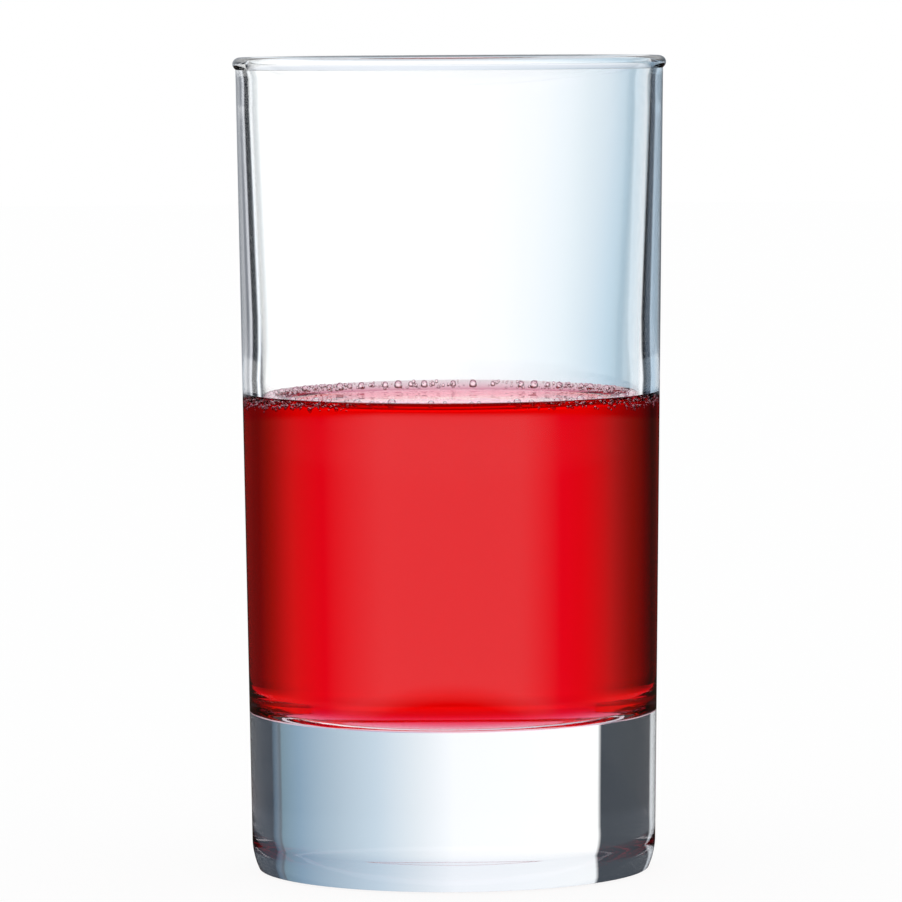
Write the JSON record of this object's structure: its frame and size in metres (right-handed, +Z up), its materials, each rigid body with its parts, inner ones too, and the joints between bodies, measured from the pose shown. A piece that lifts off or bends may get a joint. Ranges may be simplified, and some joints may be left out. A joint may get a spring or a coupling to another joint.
{
  "type": "drinking glass",
  "caption": "Straight, slightly tapered tumbler of clear pressed glass with a beaded rim and a thick solid base, half full of a red drink with small bubbles at its edge.",
  "frame": {"origin": "centre of the foot, on the surface that the glass stands on", "axes": "+Z up along the axis of the glass; the front of the picture looks along +Y"},
  "size_m": [0.058, 0.058, 0.109],
  "materials": {
    "clear_glass": "polished",
    "red_drink": "gloss",
    "bubble_film": "gloss"
  },
  "bodies": {
    "glass": {"tumbler": "clear_glass"},
    "drink": {"drink": "red_drink", "bubble_01": "bubble_film", "bubble_02": "bubble_film", "bubble_03": "bubble_film", "bubble_04": "bubble_film", "bubble_05": "bubble_film", "bubble_06": "bubble_film", "bubble_07": "bubble_film", "bubble_08": "bubble_film", "bubble_09": "bubble_film", "bubble_10": "bubble_film", "bubble_11": "bubble_film", "bubble_12": "bubble_film", "bubble_13": "bubble_film", "bubble_14": "bubble_film", "bubble_15": "bubble_film", "bubble_16": "bubble_film", "bubble_17": "bubble_film", "bubble_18": "bubble_film", "bubble_19": "bubble_film", "bubble_20": "bubble_film", "bubble_21": "bubble_film", "bubble_22": "bubble_film", "bubble_23": "bubble_film", "bubble_24": "bubble_film", "bubble_25": "bubble_film", "bubble_26": "bubble_film", "bubble_27": "bubble_film", "bubble_28": "bubble_film", "bubble_29": "bubble_film", "bubble_30": "bubble_film", "bubble_31": "bubble_film", "bubble_32": "bubble_film", "bubble_33": "bubble_film", "bubble_34": "bubble_film", "bubble_35": "bubble_film", "bubble_36": "bubble_film", "bubble_37": "bubble_film", "bubble_38": "bubble_film", "bubble_39": "bubble_film", "bubble_40": "bubble_film", "bubble_41": "bubble_film", "bubble_42": "bubble_film", "bubble_43": "bubble_film", "bubble_44": "bubble_film", "bubble_45": "bubble_film", "bubble_46": "bubble_film", "bubble_47": "bubble_film", "bubble_48": "bubble_film", "bubble_49": "bubble_film", "bubble_50": "bubble_film", "bubble_51": "bubble_film", "bubble_52": "bubble_film", "bubble_53": "bubble_film", "bubble_54": "bubble_film", "bubble_55": "bubble_film", "bubble_56": "bubble_film"}
  },
  "joints": [
    {"name": "drink_swirl", "type": "hinge", "parent": "glass", "child": "drink", "pos_m": [0, 0, 0.0416], "axis": [0, 0, 1], "continuous": true}
  ]
}
